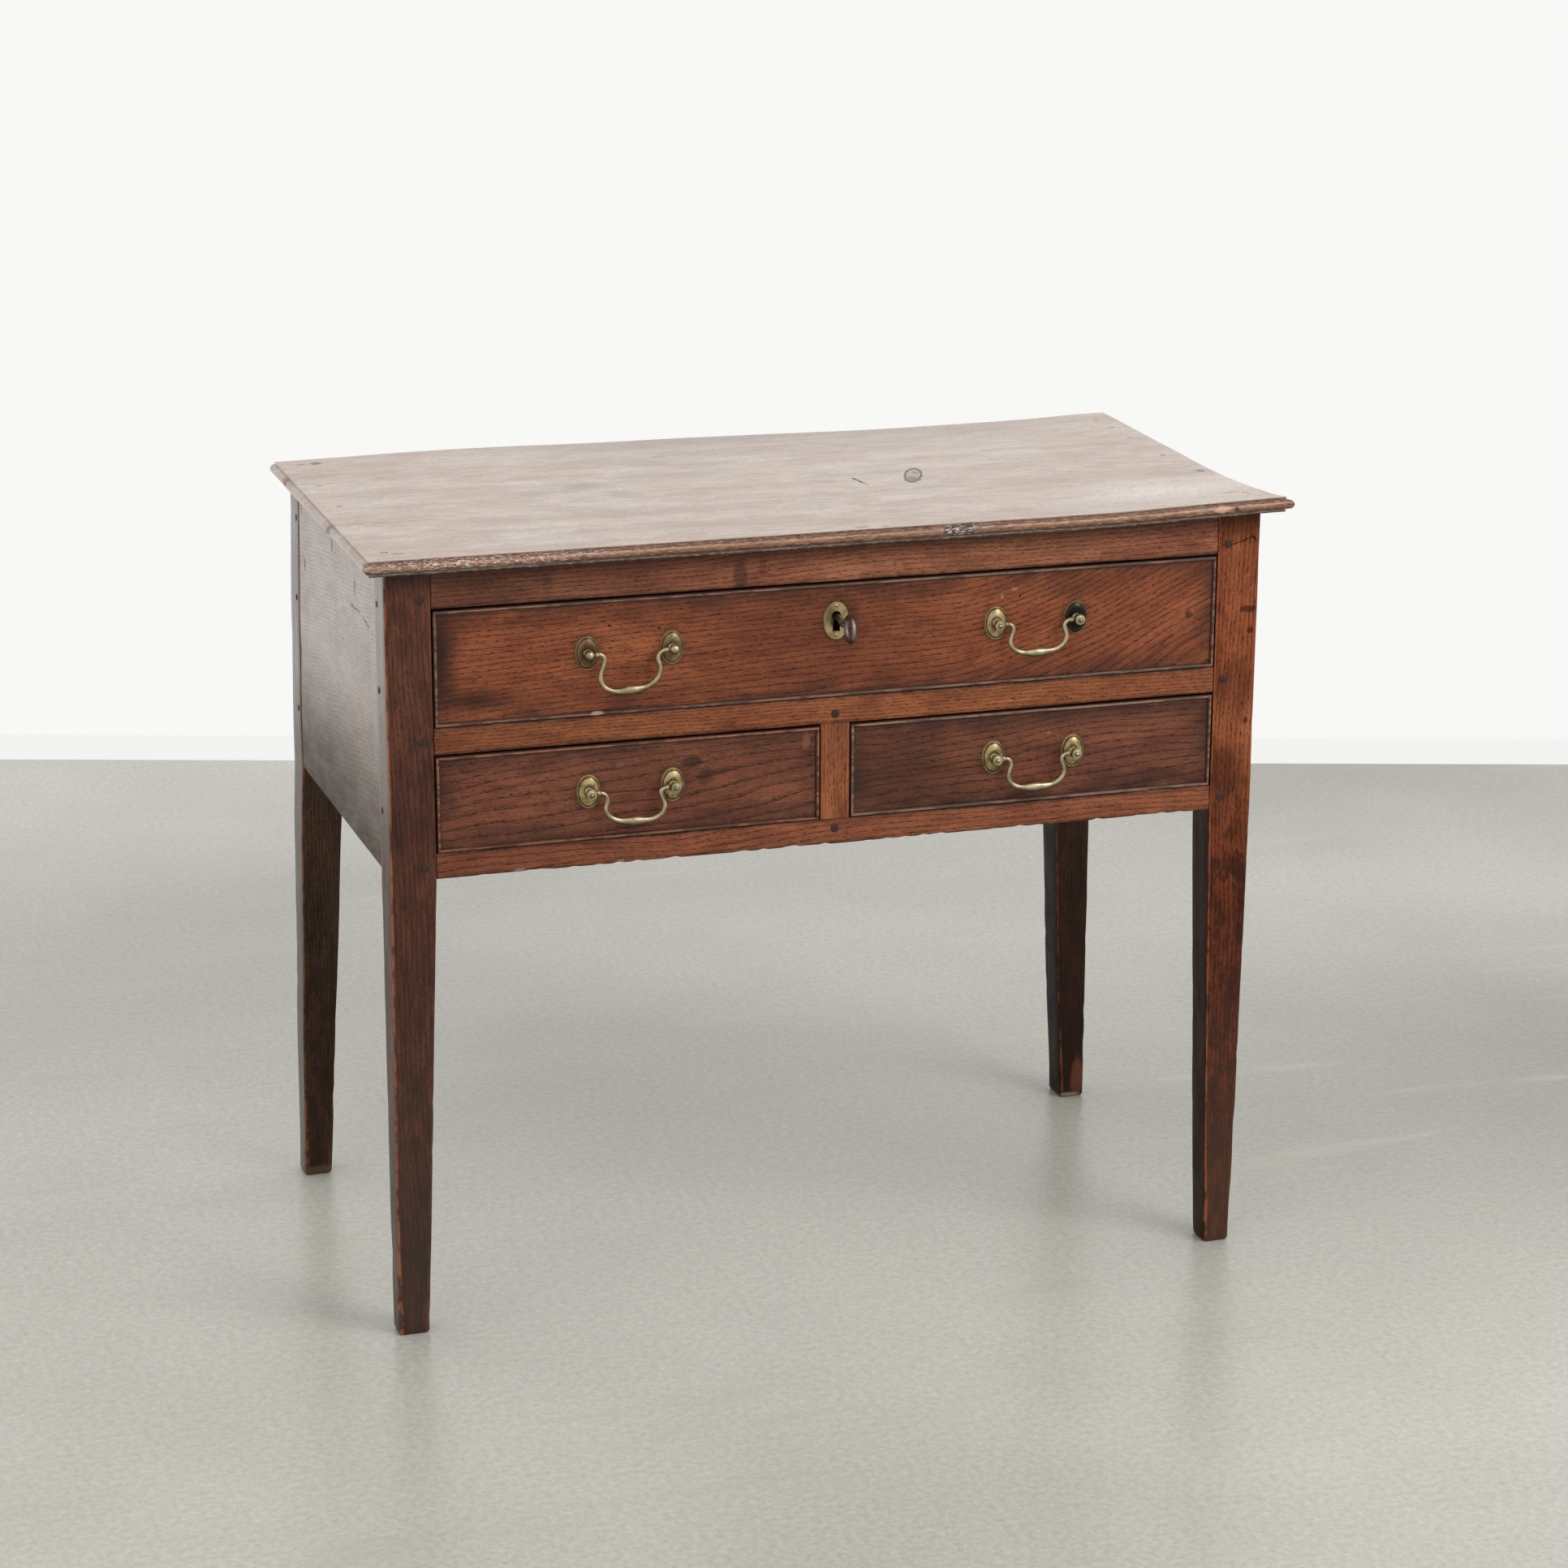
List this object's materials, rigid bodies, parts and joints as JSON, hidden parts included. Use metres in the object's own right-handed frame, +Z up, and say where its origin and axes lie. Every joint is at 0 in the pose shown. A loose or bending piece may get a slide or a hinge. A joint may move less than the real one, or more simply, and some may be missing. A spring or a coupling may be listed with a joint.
{
  "type": "lowboy side table",
  "caption": "Old oak side table with a wide locking drawer over a pair of short ones, swan-neck bail handles and tapered square legs.",
  "frame": {"origin": "at floor level, under the middle of the whole object's box", "axes": "+X to the right along the front, +Y from the front to the back, +Z up"},
  "size_m": [0.87, 0.4968, 0.741],
  "materials": {
    "oak_legs": "old waxed oak, dark at the feet",
    "oak_rails": "old waxed oak",
    "oak_side_boards": "old waxed oak with plane marks",
    "oak_back_board": "dry unpolished oak",
    "oak_top": "old waxed oak, worn pale",
    "oak_drawer_fronts": "old waxed oak",
    "oak_cockbead": "dark waxed oak",
    "oak_drawer_linings": "dry unpolished oak",
    "oak_runners": "dry worn oak",
    "oak_pegs": "end grain, nearly black with wax",
    "aged_brass": "cast brass, aged and rubbed",
    "dark_iron": "wrought iron, rubbed bright on the edges"
  },
  "bodies": {
    "carcass": {"leg_front_left": "oak_legs", "leg_front_right": "oak_legs", "leg_back_left": "oak_legs", "leg_back_right": "oak_legs", "top_rail": "oak_rails", "middle_rail": "oak_rails", "bottom_rail": "oak_rails", "muntin": "oak_rails", "side_panel_left": "oak_side_boards", "long_drawer_runner_left": "oak_runners", "small_drawer_runner_left": "oak_runners", "kicker_left": "oak_runners", "side_panel_right": "oak_side_boards", "long_drawer_runner_right": "oak_runners", "small_drawer_runner_right": "oak_runners", "kicker_right": "oak_runners", "back_panel": "oak_back_board", "top_board_front": "oak_top", "top_board_middle": "oak_top", "top_board_back": "oak_top", "small_drawer_runner_centre": "oak_runners", "centre_guide": "oak_runners", "drawer_stops": "oak_runners", "front_pegs": "oak_pegs", "side_pegs": "oak_pegs", "back_pegs": "oak_pegs", "top_pegs": "oak_pegs"},
    "long_drawer": {"long_drawer_front": "oak_drawer_fronts", "long_drawer_side_left": "oak_drawer_linings", "long_drawer_side_right": "oak_drawer_linings", "long_drawer_back": "oak_drawer_linings", "long_drawer_bottom": "oak_drawer_linings", "long_drawer_beads": "oak_cockbead", "long_drawer_roses": "aged_brass", "long_drawer_handle_posts": "aged_brass", "lock_case": "dark_iron", "escutcheon": "aged_brass", "escutcheon_pins": "aged_brass"},
    "left_drawer": {"left_drawer_front": "oak_drawer_fronts", "left_drawer_side_left": "oak_drawer_linings", "left_drawer_side_right": "oak_drawer_linings", "left_drawer_back": "oak_drawer_linings", "left_drawer_bottom": "oak_drawer_linings", "left_drawer_beads": "oak_cockbead", "left_drawer_roses": "aged_brass", "left_drawer_handle_posts": "aged_brass"},
    "right_drawer": {"right_drawer_front": "oak_drawer_fronts", "right_drawer_side_left": "oak_drawer_linings", "right_drawer_side_right": "oak_drawer_linings", "right_drawer_back": "oak_drawer_linings", "right_drawer_bottom": "oak_drawer_linings", "right_drawer_beads": "oak_cockbead", "right_drawer_roses": "aged_brass", "right_drawer_handle_posts": "aged_brass"},
    "long_left_bail": {"long_left_bail": "aged_brass"},
    "long_right_bail": {"long_right_bail": "aged_brass"},
    "left_drawer_bail": {"left_drawer_bail": "aged_brass"},
    "right_drawer_bail": {"right_drawer_bail": "aged_brass"},
    "key": {"key": "dark_iron"},
    "lock_bolt": {"lock_bolt": "dark_iron"}
  },
  "joints": [
    {"name": "long_drawer_slide", "type": "slide", "parent": "carcass", "child": "long_drawer", "axis": [0, -1, 0], "range_m": [0, 0.3]},
    {"name": "left_drawer_slide", "type": "slide", "parent": "carcass", "child": "left_drawer", "axis": [0, -1, 0], "range_m": [0, 0.3]},
    {"name": "right_drawer_slide", "type": "slide", "parent": "carcass", "child": "right_drawer", "axis": [0, -1, 0], "range_m": [0, 0.3]},
    {"name": "long_left_bail_swing", "type": "hinge", "parent": "long_drawer", "child": "long_left_bail", "pos_m": [-0.19487, -0.20322, 0.6398], "axis": [-1, 0, 0], "range_deg": [-8, 165]},
    {"name": "long_right_bail_swing", "type": "hinge", "parent": "long_drawer", "child": "long_right_bail", "pos_m": [0.19487, -0.20322, 0.6398], "axis": [-1, 0, 0], "range_deg": [-8, 165]},
    {"name": "left_drawer_bail_swing", "type": "hinge", "parent": "left_drawer", "child": "left_drawer_bail", "pos_m": [-0.19487, -0.20322, 0.51085], "axis": [-1, 0, 0], "range_deg": [-8, 165]},
    {"name": "right_drawer_bail_swing", "type": "hinge", "parent": "right_drawer", "child": "right_drawer_bail", "pos_m": [0.19487, -0.20322, 0.51085], "axis": [-1, 0, 0], "range_deg": [-8, 165]},
    {"name": "key_turn", "type": "hinge", "parent": "long_drawer", "child": "key", "pos_m": [0, -0.18161, 0.6582], "axis": [0, 0.9976, 0.0698], "range_deg": [0, 360]},
    {"name": "lock_bolt_throw", "type": "slide", "parent": "long_drawer", "child": "lock_bolt", "axis": [0, 0, 1], "range_m": [0, 0.008]}
  ],
  "couplings": [
    {"joint": "lock_bolt_throw", "follows": "key_turn", "m_per_rad": 0.0012701}
  ]
}
